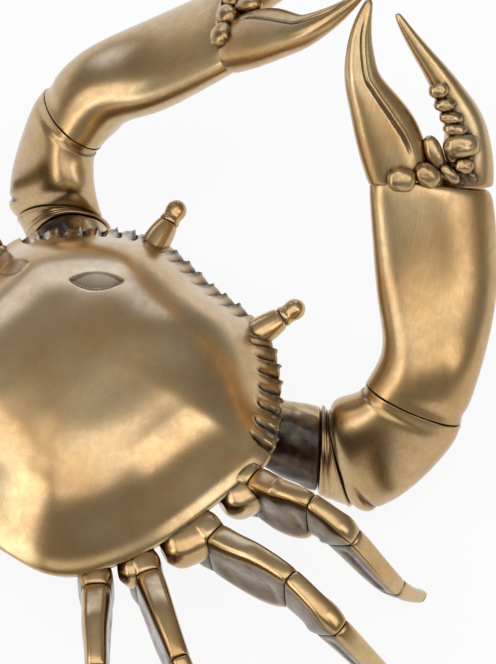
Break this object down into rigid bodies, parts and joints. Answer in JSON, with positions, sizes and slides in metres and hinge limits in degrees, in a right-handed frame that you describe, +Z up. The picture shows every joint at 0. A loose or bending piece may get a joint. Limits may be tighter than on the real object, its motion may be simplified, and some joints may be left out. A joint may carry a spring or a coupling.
{
  "type": "crab figurine",
  "caption": "Cast brass crab ornament standing on its walking legs, with a domed shell and both claws raised in front",
  "frame": {"origin": "on the table top, under the middle of the crab's bounding box", "axes": "+Z up, the crab faces -Y and its own right side is -X"},
  "size_m": [0.3306, 0.2746, 0.1622],
  "materials": {
    "satin_brass": "brushed and lightly aged",
    "patinated_brass": "as cast, dark patina"
  },
  "bodies": {
    "root": {"belly_shell": "patinated_brass", "carapace": "satin_brass", "claw_arm_left": "patinated_brass", "claw_arm_right": "patinated_brass", "claw_fixed_finger_left": "satin_brass", "claw_fixed_finger_right": "satin_brass", "claw_moving_finger_left": "satin_brass", "claw_moving_finger_right": "satin_brass", "claw_palm_left": "satin_brass", "claw_palm_right": "satin_brass", "claw_wrist_left": "satin_brass", "claw_wrist_right": "satin_brass", "claw_wrist_ring_left": "satin_brass", "claw_wrist_ring_right": "satin_brass", "eye_left": "satin_brass", "eye_right": "satin_brass", "eye_stalk_left": "satin_brass", "eye_stalk_right": "satin_brass", "leg_1_hip_left": "satin_brass", "leg_1_hip_right": "satin_brass", "leg_1_knee_left": "satin_brass", "leg_1_knee_right": "satin_brass", "leg_1_shin_left": "satin_brass", "leg_1_shin_right": "satin_brass", "leg_1_thigh_left": "satin_brass", "leg_1_thigh_right": "satin_brass", "leg_1_toe_left": "satin_brass", "leg_1_toe_right": "satin_brass", "leg_2_hip_left": "satin_brass", "leg_2_hip_right": "satin_brass", "leg_2_knee_left": "satin_brass", "leg_2_knee_right": "satin_brass", "leg_2_shin_left": "satin_brass", "leg_2_shin_right": "satin_brass", "leg_2_thigh_left": "satin_brass", "leg_2_thigh_right": "satin_brass", "leg_2_toe_left": "satin_brass", "leg_2_toe_right": "satin_brass", "leg_3_hip_left": "satin_brass", "leg_3_hip_right": "satin_brass", "leg_3_knee_left": "satin_brass", "leg_3_knee_right": "satin_brass", "leg_3_shin_left": "satin_brass", "leg_3_shin_right": "satin_brass", "leg_3_thigh_left": "satin_brass", "leg_3_thigh_right": "satin_brass", "leg_3_toe_left": "satin_brass", "leg_3_toe_right": "satin_brass", "leg_4_hip_left": "satin_brass", "leg_4_hip_right": "satin_brass", "leg_4_knee_left": "satin_brass", "leg_4_knee_right": "satin_brass", "leg_4_shin_left": "satin_brass", "leg_4_shin_right": "satin_brass", "leg_4_thigh_left": "satin_brass", "leg_4_thigh_right": "satin_brass", "leg_4_toe_left": "satin_brass", "leg_4_toe_right": "satin_brass"}
  },
  "joints": []
}
